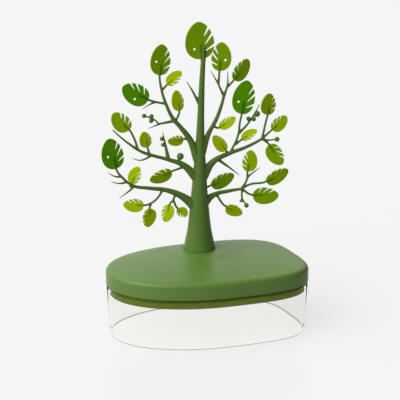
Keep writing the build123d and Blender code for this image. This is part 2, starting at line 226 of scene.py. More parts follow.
def mould_shell(name, rings, closed):
    """A moulded wall drawn ring by ring, closed into a loop or capped at both ends."""
    shell = bmesh.new()
    start = bmesh.ops.create_circle(shell, cap_ends=not closed, segments=PLAN_STEPS, radius=1)
    number_of = {vert: number for number, vert in enumerate(start["verts"])}
    for vert, number in number_of.items():
        vert.co = rings[0][number]
    first = edges = shell.edges[:]
    for corners in rings[1:]:
        drawn = bmesh.ops.extrude_edge_only(shell, edges=edges)["geom"]
        edges = [part for part in drawn if isinstance(part, bmesh.types.BMEdge)]
        drawn_number_of = {}
        for vert in drawn:
            if isinstance(vert, bmesh.types.BMVert):
                others = [edge.other_vert(vert) for edge in vert.link_edges]
                source = next(other for other in others if other in number_of)
                drawn_number_of[vert] = number_of[source]
        for vert, number in drawn_number_of.items():
            vert.co = corners[number]
        number_of = drawn_number_of
    if closed:
        bmesh.ops.bridge_loops(shell, edges=first + edges)
    else:
        bmesh.ops.contextual_create(shell, geom=edges)
    bmesh.ops.recalc_face_normals(shell, faces=shell.faces)
    return as_piece(name, shell)


def as_piece(name, shape):
    """Turns a bmesh into an object in the scene."""
    mesh = bpy.data.meshes.new(name)
    shape.to_mesh(mesh)
    shape.free()
    piece = bpy.data.objects.new(name, mesh)
    bpy.context.collection.objects.link(piece)
    return piece


def shade_smooth(piece, sharp_angle):
    """Smooth shading, with edges sharper than an angle kept crisp."""
    for face in piece.data.polygons:
        face.use_smooth = True
    piece.data.set_sharp_from_angle(angle=math.radians(sharp_angle))


def tray_inset(z):
    """How far the tray's drafted wall stands in from the plan at a height."""
    return TRAY_RIM_INSET + TRAY_DRAFT * (1 - z / TRAY_HEIGHT)


tray_rings = []
for rise, inset in quarter(TRAY_FOOT_RADIUS):
    tray_rings.append(pebble(tray_inset(0) + TRAY_FOOT_RADIUS - inset, rise))
for inset, rise in quarter(TRAY_RIM_RADIUS, 3):
    tray_rings.append(pebble(TRAY_RIM_INSET + inset, TRAY_HEIGHT - TRAY_RIM_RADIUS + rise))
for rise, inset in quarter(TRAY_RIM_RADIUS, 3):
    near_wall = TRAY_RIM_INSET + TRAY_WALL - TRAY_RIM_RADIUS
    tray_rings.append(pebble(near_wall + inset, TRAY_HEIGHT - rise))
for inset, rise in quarter(TRAY_CORNER_RADIUS, 4):
    z = TRAY_FLOOR + TRAY_CORNER_RADIUS - rise
    tray_rings.append(pebble(tray_inset(TRAY_FLOOR) + TRAY_WALL + inset, z))
tray = mould_shell("tray_shell", tray_rings, closed=False)
shade_smooth(tray, SHELL_SHARP_ANGLE)


def clear_plastic(name, tint):
    """Clear styrene that lets lamp light through, with painted shade where it is seen edge-on.
    """
    material = bpy.data.materials.new(name)
    material.use_nodes = True
    nodes, links = material.node_tree.nodes, material.node_tree.links
    glass = nodes["Principled BSDF"]
    glass.inputs["Transmission Weight"].default_value = 1
    glass.inputs["IOR"].default_value = THIN_WALL_IOR
    glass.inputs["Coat Weight"].default_value = TRAY_GLOSS
    glass.inputs["Coat Roughness"].default_value = TRAY_GLOSS_ROUGHNESS
    flow = nodes.new("ShaderNodeTexNoise")
    flow.inputs["Scale"].default_value = FLOW_SCALE
    flow_place = nodes.new("ShaderNodeTexCoord")
    links.new(flow_place.outputs["Object"], flow.inputs["Vector"])
    haze = range_node(nodes, (0, 1), (0, MOST_HAZE))
    links.new(flow.outputs["Fac"], haze.inputs["Value"])
    links.new(haze.outputs["Result"], glass.inputs["Roughness"])
    # Painted shade: the wall's colour is mixed towards a dark brown where it is seen edge-on
    edge_on = nodes.new("ShaderNodeLayerWeight")
    edge_shade_mask = range_node(nodes, (EDGE_SHADE_START, 1), (0, 1))
    links.new(edge_on.outputs["Facing"], edge_shade_mask.inputs["Value"])
    through = nodes.new("ShaderNodeMix")
    through.data_type = "RGBA"
    through.inputs["A"].default_value = (*tint, 1)
    through.inputs["B"].default_value = (*PAINTED_EDGE_SHADE, 1)
    links.new(edge_shade_mask.outputs["Result"], through.inputs["Factor"])
    links.new(through.outputs["Result"], glass.inputs["Base Color"])
    lamp_light = nodes.new("ShaderNodeBsdfTransparent")
    lamp_light.inputs["Color"].default_value = (*tint, 1)
    rays = nodes.new("ShaderNodeLightPath")
    let_through = nodes.new("ShaderNodeMixShader")
    links.new(rays.outputs["Is Shadow Ray"], let_through.inputs[0])
    links.new(glass.outputs[0], let_through.inputs[1])
    links.new(lamp_light.outputs[0], let_through.inputs[2])
    links.new(let_through.outputs[0], nodes["Material Output"].inputs["Surface"])
    return material


dress(tray, clear_plastic("clear_styrene", CLEAR_TINT))
# The foot's faces seen edge-on get a second material that is all painted dark shade
tray.data.materials.append(clear_plastic("clear_styrene_painted_shade", PAINTED_EDGE_SHADE))
for face in tray.data.polygons:
    in_foot = face.center.z < TRAY_FOOT_RADIUS * MM
    if in_foot and SHADE_LINE_LEAST_TILT < abs(face.normal.z) < SHADE_LINE_MOST_TILT:
        face.material_index = 1
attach(tray, "tray")
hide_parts("tray")


# Seal ring: a soft olive ring pressed into the lid's skirt. Its flange rests on
# the tray's rim and shows below the skirt, and its lip plugs the tray's mouth and
# shows through the clear wall.
SKIRT_WALL = 2.4
SEAL_DROP = 7.0
SEAL_TOP = 6.0
SEAL_WALL = 2.2
SEAL_FIT = 0.1
SEAL_TRAY_GAP = 0.3
SEAL_LIP_RADIUS = 0.8
SEAL_OLIVE = (0.075, 0.110, 0.006)

seal_foot_z = TRAY_HEIGHT - SEAL_DROP
seal_top_z = TRAY_HEIGHT + SEAL_TOP - SEAL_FIT
lip_inset = tray_inset(seal_foot_z) + TRAY_WALL + SEAL_TRAY_GAP
bore_inset = lip_inset + SEAL_WALL
seal_rings = [pebble(bore_inset, seal_top_z), pebble(bore_inset, seal_foot_z + SEAL_LIP_RADIUS)]
for inset, rise in quarter(SEAL_LIP_RADIUS, 4):
    seal_rings.append(pebble(bore_inset - inset, seal_foot_z + SEAL_LIP_RADIUS - rise))
for rise, inset in quarter(SEAL_LIP_RADIUS, 4):
    seal_rings.append(pebble(lip_inset + SEAL_LIP_RADIUS - inset, seal_foot_z + rise))
seal_rings.append(pebble(TRAY_RIM_INSET + TRAY_WALL + SEAL_TRAY_GAP, TRAY_HEIGHT))
seal_rings.append(pebble(SKIRT_WALL + SEAL_FIT, TRAY_HEIGHT))
seal_rings.append(pebble(SKIRT_WALL + SEAL_FIT, seal_top_z))
seal = mould_shell("seal_lip", seal_rings, closed=True)
shade_smooth(seal, SHELL_SHARP_ANGLE)
seal_rubber, _, seal_shader = satin_plastic(
    "seal_rubber", colour=SEAL_OLIVE, roughness=0.5, drift=0.1,
    drift_scale=40, grain_depth=0.02 * MM,
)
seal_shader.inputs["Specular IOR Level"].default_value = 0.1
dress(seal, seal_rubber)
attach(seal, "lid_with_tree")
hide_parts("seal_ring")


# Lid: one satin green shell with an upright skirt and a soft dome that swells
# up to the tree's foot. Below the foot is the socket that takes its spigot.
SKIRT_HEIGHT = 21.2
SKIRT_LIFT = 3.4
LID_WALL = 5.6
LID_TOP_WALL = 3.0
DOME_RISE = 3.8
DOME_STEPS = 28
LID_EDGE_RADIUS = 5.5
LID_LIP_RADIUS = 0.5
SWELL_RISE = 2.4
SWELL_SHARE = 0.32
SWELL_COLLAR = 1.6
SEAT_RECESS = 0.6
TREE_Y = 28.0
TRUNK_FOOT_RADIUS = 17.0
SEAT_FIT = 0.3
SPIGOT_RADIUS = 11.5
SPIGOT_DEPTH = 8.0
SPIGOT_FIT = 0.1
SOCKET_FLOOR = 3.0
SOCKET_WALL = 2.5
SCREW_HOLE_RADIUS = 2.2
INNER_DOME_STEPS = 6
LID_SHARP_ANGLE = 35
LID_GREEN = (0.105, 0.205, 0.028)

FOLD_Z = TRAY_HEIGHT + SKIRT_HEIGHT
SKIRT_FOOT_Z = TRAY_HEIGHT + SKIRT_LIFT
SEAT_Z = FOLD_Z + DOME_RISE + SWELL_RISE - SEAT_RECESS


def tree_round(turn, radius):
    """Distance from the middle to a circle round the tree's foot, towards a turn."""
    return TREE_Y * math.sin(turn) + radius


def round_ring(radius, z):
    """A circle round the tree's foot, at one height."""
    return ring([tree_round(turn_of(step), radius) for step in range(PLAN_STEPS)], z)


def dome_z(share):
    """Height of the lid's top, from the trunk's collar at 0 to the edge at 1."""
    swell = (1 + math.cos(math.pi * min(1, share / SWELL_SHARE))) / 2
    return FOLD_Z + DOME_RISE * (1 - share**2) + SWELL_RISE * swell


def dome_ring(share, inset, drop):
    """A ring of the lid's top, lowered by a drop."""
    supports = []
    for step in range(PLAN_STEPS):
        collar = tree_round(turn_of(step), TRUNK_FOOT_RADIUS + SWELL_COLLAR)
        supports.append(collar + (support(turn_of(step), inset) - collar) * share)
    return ring(supports, dome_z(share) - drop)


lid_rings = [pebble(SKIRT_WALL, SKIRT_FOOT_Z), pebble(LID_LIP_RADIUS, SKIRT_FOOT_Z)]
for rise, inset in quarter(LID_LIP_RADIUS, 3):
    lid_rings.append(pebble(LID_LIP_RADIUS - inset, SKIRT_FOOT_Z + rise))
for inset, rise in quarter(LID_EDGE_RADIUS, 10):
    lid_rings.append(pebble(inset, FOLD_Z - LID_EDGE_RADIUS + rise))
for step in range(DOME_STEPS - 1, -1, -1):
    lid_rings.append(dome_ring(step / DOME_STEPS, LID_EDGE_RADIUS, 0))
socket_z = SEAT_Z - SPIGOT_DEPTH
seat_and_socket = [
    (TRUNK_FOOT_RADIUS + SEAT_FIT, SEAT_Z + SEAT_RECESS),
    (TRUNK_FOOT_RADIUS + SEAT_FIT, SEAT_Z),
    (SPIGOT_RADIUS + SPIGOT_FIT, SEAT_Z),
    (SPIGOT_RADIUS + SPIGOT_FIT, socket_z),
    (SCREW_HOLE_RADIUS, socket_z),
    (SCREW_HOLE_RADIUS, socket_z - SOCKET_FLOOR),
    (SPIGOT_RADIUS + SOCKET_WALL, socket_z - SOCKET_FLOOR),
    (SPIGOT_RADIUS + SOCKET_WALL, dome_z(SWELL_SHARE) - LID_TOP_WALL),
]
for radius, z in seat_and_socket:
    lid_rings.append(round_ring(radius, z))
for step in range(1, INNER_DOME_STEPS + 1):
    share = SWELL_SHARE + (1 - SWELL_SHARE) * step / INNER_DOME_STEPS
    lid_rings.append(dome_ring(share, LID_WALL, LID_TOP_WALL))
lid_rings.append(pebble(LID_WALL, TRAY_HEIGHT + SEAL_TOP))
lid_rings.append(pebble(SKIRT_WALL, TRAY_HEIGHT + SEAL_TOP))
lid = mould_shell("lid_shell", lid_rings, closed=True)
shade_smooth(lid, LID_SHARP_ANGLE)
lid_plastic, _, _ = satin_plastic(
    "lid_plastic", colour=LID_GREEN, roughness=0.42, drift=0.06,
    drift_scale=14, grain_depth=0.015 * MM,
)
dress(lid, lid_plastic)
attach(lid, "lid_with_tree")
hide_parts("lid")


# Tree: trunk, limbs, twigs, berries and buds in one satin moulding. The mould
# has no sharp inner corners, so the forks are drawn into soft webs.
TREE_GREEN = (0.088, 0.172, 0.024)
TRUNK_SIDES = 48
SPIGOT_SIDES = 32
LIMB_SIDES = 12
LIMB_STEPS = 8
FORK_VOXEL = 0.45 * MM
FORK_PASSES = 7
TREE_SHARE_KEPT = 0.55
STEM_ROOT = 1.4
STEM_END = 1.2
PIN_RADIUS = 0.9
PIN_SHARE = 0.30
SPIGOT_OVERLAP = 1

# Trunk sections: height above the seat, sideways lean, radius
TRUNK = [
    (0, 0, TRUNK_FOOT_RADIUS),
    (6, 0, 15.9),
    (12, 0, 14.7),
    (21, 0, 12.9),
    (33, 0, 11.4),
    (45, 0, 10.2),
    (62, 0.1, 8.7),
    (80, 0.4, 7.2),
    (112, 0.8, 5.2),
    (137, 1.4, 3.9),
    (170, 2.4, 3.2),
    (203, 4.1, 2.5),
    (218, 5.1, 1.7),
]

# Limbs: route of (x, z) points in the tree's plane above the seat, radii at
# equal stations along it, and the end's angle from upright
LIMBS = [
    (
        [(-2, 98), (-10, 120), (-20, 134), (-29, 145), (-36, 160), (-41, 176), (-43, 192)],
        (4.8, 2.8, 1.75, STEM_END), 3,
    ),
    (
        [(-2, 77), (-18, 94), (-34, 101), (-51, 107), (-63, 112), (-77, 122), (-94, 138)],
        (5.2, 2.2, 1.6, 0.8), -44,
    ),
    (
        [(-2, 44), (-18, 59), (-36, 68), (-55, 72), (-72, 76), (-84, 86), (-91, 97)],
        (6.0, 2.8, 1.8, STEM_END), -14,
    ),
    ([(2, 104), (10, 125), (19, 141), (25, 157), (27, 165)], (4.8, 2.8, 2.1, 1.6), 12),
    ([(2, 77), (16, 95), (33, 102), (51, 107), (70, 115)], (6.0, 2.9, 2.0, 1.5), 62),
    ([(2, 48), (16, 58), (34, 61), (48, 62)], (6.2, 3.0, 2.1, 1.6), 84),
]

# Bare twigs: route, with the radius at the root and at the tip
TWIGS = [
    ([(0, 158), (-9, 175), (-14, 183)], (1.9, 0.6)),
    ([(-46, 164), (-55, 161), (-62, 157)], (1.2, 0.5)),
    ([(-28, 142), (-37, 141), (-45, 140)], (1.8, 1.1)),
    ([(-43, 140), (-50, 138), (-56, 136)], (1.1, 0.5)),
    ([(-44, 140), (-49, 145), (-55, 148), (-60, 150)], (1.1, 0.8)),
    ([(-34, 101), (-38, 121), (-40, 131)], (2.3, 0.6)),
    ([(-24, 96), (-21, 103)], (1.5, 1.2)),
    ([(-52, 107), (-64, 103), (-74, 106)], (1.4, 0.5)),
    ([(-85, 87), (-92, 88), (-100, 93)], (1.3, 0.5)),
    ([(-78, 81), (-87, 80), (-97, 83)], (1.4, 0.5)),
    ([(-71, 76), (-77, 71), (-88, 64)], (1.5, 0.5)),
    ([(27, 164), (21, 177), (15, 188), (12, 193)], (1.6, 0.5)),
    ([(27, 164), (31, 177), (31, 191)], (1.6, 0.5)),
    ([(20, 97), (33, 87), (45, 77)], (1.8, 0.6)),
    ([(44, 123), (55, 134), (63, 146), (67, 153)], (1.6, 0.6)),
    ([(69, 115), (77, 113), (86, 113)], (1.2, 0.9)),
    ([(54, 74), (59, 78), (69, 84)], (1.2, 0.5)),
    ([(48, 62), (48, 52), (53, 43)], (1.3, 0.9)),
    ([(48, 54), (47, 49)], (1.0, 0.8)),
]

# Berries, buds and the knuckles of forks: centre in the tree's plane, radius
BERRIES = [
    (-60, 150, 2.5),
    (-52, 149, 2.4),
    (-52.5, 144, 2.4),
    (-41, 124, 2.4),
    (-40, 117.5, 2.2),
    (-21, 103.5, 3.8),
    (54.5, 138, 2.6),
    (60.5, 137, 2.5),
    (64, 142.5, 3.4),
    (87, 113, 2.8),
    (53, 43, 2.7),
    (47, 48.5, 1.8),
    (27, 165, 2.0),
    (70, 115, 2.0),
    (48, 62, 2.1),
]

# Leaves: foot (x, z), angle from upright, length, width, side of the slits,
# turn about the stem, height of the stud hole as a share of the length (0 for
# none), the stem's points before the foot, and the green
LEAVES = {
    "leaf_left_01": ((-42.5, 192), 3, 32, 22, 1, 6, 0.44, [], "mid"),
    "leaf_left_02": ((-35, 181), 51, 20, 12, 1, -16, 0, [(-41, 175)], "yellow"),
    "leaf_left_03": ((-56, 167), -61, 31, 22, 1, 8, 0.44, [(-37, 161), (-48, 164)], "dark"),
    "leaf_left_04": ((-22, 153), -12, 22, 14, 1, 14, 0, [(-26, 141)], "yellow"),
    "leaf_left_05": ((-76.5, 137), -42, 25, 18, 1, -10, 0, [(-67, 115), (-71, 127)], "light"),
    "leaf_left_06": ((-57, 117), -17, 17, 14, 1, 16, 0, [(-54, 107)], "yellow"),
    "leaf_left_07": ((-31, 88), -106, 25, 15, 1, -12, 0, [(-16, 92)], "light"),
    "leaf_left_08": ((-90.5, 97), -14, 33, 24, 1, 8, 0.45, [], "dark"),
    "leaf_left_09": ((-74, 79), 24, 19, 13, 1, -16, 0, [(-76, 75)], "yellow"),
    "leaf_left_10": ((-62, 54), -82, 22, 14, 1, 12, 0, [(-40, 69), (-49, 58)], "yellow"),
    "leaf_left_11": ((-55, 50), -170, 20, 16, 1, -14, 0, [(-53, 56)], "yellow"),
    "leaf_left_12": ((-33, 52), -164, 19, 13, 1, 18, 0, [(-26, 64), (-29, 57)], "yellow"),
    "leaf_left_13": ((-24, 47), 130, 13, 11, 1, 20, 0, [(-29, 57)], "yellow"),
    "leaf_left_14": ((-18, 122), -91, 17, 12, 1, -16, 0, [(-11, 121)], "yellow"),
    "leaf_right_01": ((22, 192), 4, 30, 21, -1, -8, 0.38, [(21, 177)], "mid"),
    "leaf_right_02": ((38, 181), 35, 26, 17, -1, 10, 0, [(31, 174)], "mid"),
    "leaf_right_03": (
        (47, 144), 9, 36, 24, 1, -6, 0.35, [(34, 102), (43, 121), (45, 135)], "dark",
    ),
    "leaf_right_04": ((76, 141), 2, 23, 18, 1, 12, 0, [(70, 115), (74, 133)], "light"),
    "leaf_right_05": ((47, 116), 62, 19, 10, 1, -20, 0, [(40, 111)], "yellow"),
    "leaf_right_06": ((29, 106), -41, 22, 13, 1, 14, 0, [(33, 101)], "yellow"),
    "leaf_right_07": ((81, 124), 50, 21, 14, -1, -10, 0, [(70, 115)], "light"),
    "leaf_right_08": ((78, 108), 147, 27, 17, -1, 8, 0, [(70, 115)], "light"),
    "leaf_right_09": ((54, 81), 9, 23, 16, -1, -12, 0, [(47, 62), (53, 71)], "light"),
    "leaf_right_10": ((75, 67.5), 65, 27, 16, -1, 10, 0, [(47, 62), (57, 66)], "light"),
    "leaf_right_11": ((60, 54), 96, 29, 18, -1, -8, 0, [(47, 62)], "mid"),
    "leaf_right_12": ((30, 44), 117, 20, 13, -1, 18, 0, [(19, 58)], "yellow"),
    "leaf_right_13": ((13, 69), 68, 27, 16, -1, 10, 0, [(2, 65)], "mid"),
    "leaf_right_14": ((22, 131), 61, 20, 11, -1, -16, 0, [(14, 134)], "yellow"),
}


def up_at(angle):
    """Unit vector in the tree's plane, an angle clockwise from upright."""
    return Vector((math.sin(math.radians(angle)), 0, math.cos(math.radians(angle))))


def in_tree(point):
    """A point of the tree's plane, its height counted from the seat, in metres."""
    return Vector((point[0], TREE_Y, SEAT_Z + point[1])) * MM


def shares_along(route):
    """How far along the route each of its points lies, from 0 to 1."""
    runs = [math.dist(near, far) for near, far in zip(route, route[1:])]
    return [sum(runs[:number]) / sum(runs) for number in range(len(route))]


def radius_at(radii, share):
    """The radius at a share of the route, between evenly spaced radii."""
    place = share * (len(radii) - 1)
    number = min(int(place), len(radii) - 2)
    return radii[number] + (radii[number + 1] - radii[number]) * (place - number)


def add_limb(moulding, route, radii, sides=LIMB_SIDES, end=None):
    """Adds a tapering round limb, drawn through a route of points, to the moulding."""
    line = bpy.data.curves.new("limb", "CURVE")
    line.dimensions = "3D"
    line.bevel_depth = MM
    line.bevel_resolution = sides // 2 - 2
    line.resolution_u = LIMB_STEPS
    line.use_fill_caps = True
    spline = line.splines.new("BEZIER")
    spline.radius_interpolation = "CARDINAL"
    spline.bezier_points.add(len(route) - 1)
    for point, place, radius in zip(spline.bezier_points, route, radii):
        point.co = in_tree(place)
        point.radius = radius
        point.handle_left_type = point.handle_right_type = "AUTO"
    if end:
        last = spline.bezier_points[-1]
        before = spline.bezier_points[-2]
        last.handle_left_type = last.handle_right_type = "FREE"
        last.handle_left = last.co - end * (last.co - before.co).length / 3
        last.handle_right = last.co + end * (last.co - before.co).length / 3
    holder = bpy.data.objects.new("limb", line)
    bpy.context.collection.objects.link(holder)
    evaluated = holder.evaluated_get(bpy.context.evaluated_depsgraph_get())
    tube = bpy.data.meshes.new_from_object(evaluated)
    moulding.from_mesh(tube)
    bpy.data.objects.remove(holder)
    bpy.data.meshes.remove(tube)


def settle(piece):
    """Applies a piece's modifiers to its mesh."""
    evaluated = piece.evaluated_get(bpy.context.evaluated_depsgraph_get())
    mesh = bpy.data.meshes.new_from_object(evaluated)
    piece.modifiers.clear()
    piece.data = mesh


moulding = bmesh.new()
trunk_route = [(lean, height) for height, lean, _ in TRUNK]
add_limb(moulding, trunk_route, [radius for _, _, radius in TRUNK], sides=TRUNK_SIDES)
spigot_route = [(0, -SPIGOT_DEPTH + SPIGOT_FIT), (0, SPIGOT_OVERLAP)]
add_limb(moulding, spigot_route, [SPIGOT_RADIUS, SPIGOT_RADIUS], sides=SPIGOT_SIDES)
for route, radii, angle in LIMBS:
    stations = [radius_at(radii, share) for share in shares_along(route)]
    add_limb(moulding, route, stations, end=up_at(angle))
for route, radii in TWIGS:
    stations = [radius_at(radii, share) for share in shares_along(route)]
    add_limb(moulding, route, stations)
for foot, angle, length, _, _, _, _, stem, _ in LEAVES.values():
    if stem:
        route = [*stem, foot]
        stations = [radius_at((STEM_ROOT, STEM_END), share) for share in shares_along(route)]
        add_limb(moulding, route, stations, end=up_at(angle))
    along = up_at(angle) * PIN_SHARE * length
    add_limb(moulding, [foot, (foot[0] + along.x, foot[1] + along.z)], [PIN_RADIUS, PIN_RADIUS])
for x, z, radius in BERRIES:
    bead = bmesh.ops.create_icosphere(moulding, subdivisions=3, radius=radius * MM)["verts"]
    bmesh.ops.translate(moulding, verts=bead, vec=in_tree((x, z)))
bmesh.ops.recalc_face_normals(moulding, faces=moulding.faces)
tree = as_piece("tree_moulding", moulding)
remesh = tree.modifiers.new("even_skin", "REMESH")
remesh.mode = "VOXEL"
remesh.voxel_size = FORK_VOXEL
settle(tree)
shape = bmesh.new()
shape.from_mesh(tree.data)
for _ in range(FORK_PASSES):
    bmesh.ops.smooth_vert(
        shape, verts=shape.verts, factor=0.5,
        use_axis_x=True, use_axis_y=True, use_axis_z=True,
    )
shape.to_mesh(tree.data)
shape.free()
thin = tree.modifiers.new("fewer_faces", "DECIMATE")
thin.ratio = TREE_SHARE_KEPT
settle(tree)
for face in tree.data.polygons:
    face.use_smooth = True

tree_plastic, _, tree_shader = satin_plastic(
    "tree_plastic", colour=TREE_GREEN, roughness=0.42, drift=0.12,
    drift_scale=22, grain_depth=0.015 * MM,
)
tree_shader.inputs["Specular IOR Level"].default_value = 0.3
dress(tree, tree_plastic)
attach(tree, "lid_with_tree")
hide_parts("tree")


# Leaves: flat slit blades moulded in four translucent greens. Each has a sleeve
# on its back that grips the pin at its stem's end.
BLADE = 1.5
BLADE_BACK = 0.7
BLADE_EDGE = 0.35
OUTLINE_POINTS = 96
WHOLE_SIDE = 0.54
SLIT_SIDE = 0.46
BLADE_POINT = 1.15
BLADE_SKEW = 1.25

# Slits, as shares of the width and the length: inner end, then mouth
SLITS = [
    ((0.15, 0.60), (0.32, 0.79)),
    ((0.15, 0.38), (0.42, 0.60)),
    ((0.14, 0.20), (0.46, 0.31)),
]
SLIT_HALF_WIDTH = 0.02
SLIT_MOUTH_HALF_WIDTH = 0.055
SLIT_OVERRUN = 0.3
CUTTER_DEPTH = 4 * BLADE
STUD_HOLE_RADIUS = 1.35
STUD_HOLE_ASIDE = 0.25
SLEEVE_RADIUS = 1.8
SLEEVE_TAPER = 0.8
SLEEVE_END = 1.0
FOOT_GAP = 0.2
EDGE_SHARP_ANGLE = 40

# Greens of the leaves, and the painted shade of the sleeve seen through the blade:
# the shares of the width and the length over which it fades, and how it darkens the green
LEAF_GREENS = {
    "dark": (0.102, 0.315, 0.001),
    "mid": (0.215, 0.390, 0.001),
    "light": (0.280, 0.460, 0.001),
    "yellow": (0.440, 0.585, 0.001),
}
PAINTED_SHADE_ASIDE = (0.02, 0.10)
PAINTED_SHADE_UP = (0.25, 0.5)
PAINTED_SLEEVE_SHADE = (0.35, 0.5, 0.5, 1)
LEAF_GLINT = (0.75, 1, 0.3, 1)


def leaf_plastic(name, colour):
    """A leaf's green, with painted shade along the sleeve that lies behind the blade."""
    material, skin, shader = satin_plastic(
        name, colour, roughness=0.38, drift=0.16, drift_scale=70, grain_depth=0.01 * MM,
    )
    nodes, links = material.node_tree.nodes, material.node_tree.links
    # Painted shade: a darker band along the sleeve, from the foot to half way up the blade
    place = nodes.new("ShaderNodeUVMap")
    place.uv_map = "leaf"
    parts = nodes.new("ShaderNodeSeparateXYZ")
    links.new(place.outputs["UV"], parts.inputs[0])
    across = math_node(nodes, "ABSOLUTE")
    links.new(parts.outputs["X"], across.inputs[0])
    beside = range_node(nodes, PAINTED_SHADE_ASIDE, (1, 0), smooth=True)
    links.new(across.outputs[0], beside.inputs["Value"])
    below = range_node(nodes, PAINTED_SHADE_UP, (1, 0), smooth=True)
    links.new(parts.outputs["Y"], below.inputs["Value"])
    sleeve_shade_mask = math_node(nodes, "MULTIPLY")
    links.new(beside.outputs[0], sleeve_shade_mask.inputs[0])
    links.new(below.outputs[0], sleeve_shade_mask.inputs[1])
    shader.inputs["Specular IOR Level"].default_value = 0.1
    shader.inputs["Specular Tint"].default_value = LEAF_GLINT
    sleeve_shade_paint = nodes.new("ShaderNodeMix")
    sleeve_shade_paint.data_type = "RGBA"
    sleeve_shade_paint.blend_type = "MULTIPLY"
    sleeve_shade_paint.inputs["B"].default_value = PAINTED_SLEEVE_SHADE
    links.new(sleeve_shade_mask.outputs[0], sleeve_shade_paint.inputs["Factor"])
    links.new(skin.outputs["Colour"], sleeve_shade_paint.inputs["A"])
    links.new(sleeve_shade_paint.outputs["Result"], shader.inputs["Base Color"])
    return material


leaf_finishes = {}
for shade, green in LEAF_GREENS.items():
    leaf_finishes[shade] = leaf_plastic("leaf_" + shade, green)


def slit_cutters(length, width, side, stud):
    """The wedges that open the slits, and the pin that pierces the stud hole."""
    cutters = bmesh.new()
    for (u, v), (mouth_u, mouth_v) in SLITS:
        root = Vector((side * u * width, v * length, 0))
        mouth = Vector((side * mouth_u * width, mouth_v * length, 0))
        run = mouth - root
        reach = run.length * (1 + SLIT_OVERRUN)
        turn = Matrix.Rotation(math.atan2(run.y, run.x), 4, "Z")
        wedge = bmesh.ops.create_cube(cutters, size=1)["verts"]
        bmesh.ops.translate(cutters, verts=wedge, vec=(0.5, 0, 0))
        for vert in wedge:
            half = SLIT_MOUTH_HALF_WIDTH if vert.co.x > 0.5 else SLIT_HALF_WIDTH
            across = vert.co.y * 2 * half * width
            vert.co = Vector((vert.co.x * reach, across, vert.co.z * CUTTER_DEPTH))
        bmesh.ops.transform(cutters, verts=wedge, matrix=Matrix.Translation(root) @ turn)
    if stud:
        pin = bmesh.ops.create_cone(
            cutters, cap_ends=True, segments=32, radius1=STUD_HOLE_RADIUS,
            radius2=STUD_HOLE_RADIUS, depth=CUTTER_DEPTH,
        )["verts"]
        hole = (-side * STUD_HOLE_ASIDE * width, stud * length, 0)
        bmesh.ops.translate(cutters, verts=pin, vec=hole)
    return cutters


def blank_blade(length, width, side):
    """The uncut blade: an egg, widest near its foot, one side a little fuller, in z = 0."""
    blank = bmesh.new()
    outline = bmesh.ops.create_circle(blank, cap_ends=True, segments=OUTLINE_POINTS, radius=1)
    for vert in outline["verts"]:
        turn = math.atan2(vert.co.x, -vert.co.y)
        share = SLIT_SIDE if turn * side > 0 else WHOLE_SIDE
        reach = abs(math.sin(turn)) ** BLADE_POINT
        rise = ((1 - math.cos(turn)) / 2) ** BLADE_SKEW
        vert.co = Vector((math.copysign(share * reach * width, turn), length * rise, 0))
    raised = bmesh.ops.extrude_face_region(blank, geom=blank.faces[:])["geom"]
    tops = [part for part in raised if isinstance(part, bmesh.types.BMVert)]
    bmesh.ops.translate(blank, verts=tops, vec=(0, 0, BLADE))
    bmesh.ops.translate(blank, verts=blank.verts, vec=(0, 0, -BLADE / 2))
    bmesh.ops.recalc_face_normals(blank, faces=blank.faces)
    return blank


def cut_leaf(name, length, width, side, stud):
    """A blade with its slits and hole cut and its edges rounded, in mm, facing +Z."""
    leaf = as_piece(name, blank_blade(length, width, side))
    cutter = as_piece(name + "_cutter", slit_cutters(length, width, side, stud))
    cut = leaf.modifiers.new("slits", "BOOLEAN")
    cut.object = cutter
    cut.operation = "DIFFERENCE"
    cut.solver = "EXACT"
    rounded = leaf.modifiers.new("moulded_edge", "BEVEL")
    rounded.width = BLADE_EDGE
    rounded.segments = 2
    rounded.limit_method = "ANGLE"
    rounded.angle_limit = math.radians(EDGE_SHARP_ANGLE)
    settle(leaf)
    bpy.data.objects.remove(cutter)
    return leaf


def stand_leaf(foot, angle, turn):
    """The matrix that takes a leaf, drawn in mm, to its place on the tree, in metres."""
    tilt = Matrix.Rotation(math.radians(angle), 4, "Y")
    about_stem = Matrix.Rotation(math.radians(turn), 4, "Z")
    upright = Matrix.Rotation(math.radians(90), 4, "X")
    return Matrix.Translation(in_tree(foot)) @ tilt @ about_stem @ upright @ Matrix.Scale(MM, 4)


def name_leaf_places(leaf, length, width):
    """Writes the leaf's own places, as shares of its width and length, to a UV map."""
    places = leaf.data.uv_layers.new(name="leaf")
    for loop in leaf.data.loops:
        point = leaf.data.vertices[loop.vertex_index].co
        places.data[loop.index].uv = (point.x / width, point.y / length)


def add_sleeve(shape, low, high, radius, end_radius):
    """Adds a closed sleeve between two points of a leaf's own frame."""
    axis = high - low
    sleeve = bmesh.ops.create_cone(
        shape, cap_ends=True, segments=20, radius1=radius, radius2=end_radius, depth=axis.length,
    )["verts"]
    turn = axis.to_track_quat("Z", "Y").to_matrix().to_4x4()
    place = Matrix.Translation((low + high) / 2) @ turn
    bmesh.ops.transform(shape, verts=sleeve, matrix=place)


def hang_leaf(leaf, name, place, green):
    """Places a finished leaf on its stem, dresses it, attaches it and hides its node."""
    leaf.data.transform(place)
    dress(leaf, leaf_finishes[green])
    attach(leaf, "lid_with_tree")
    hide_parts(name)


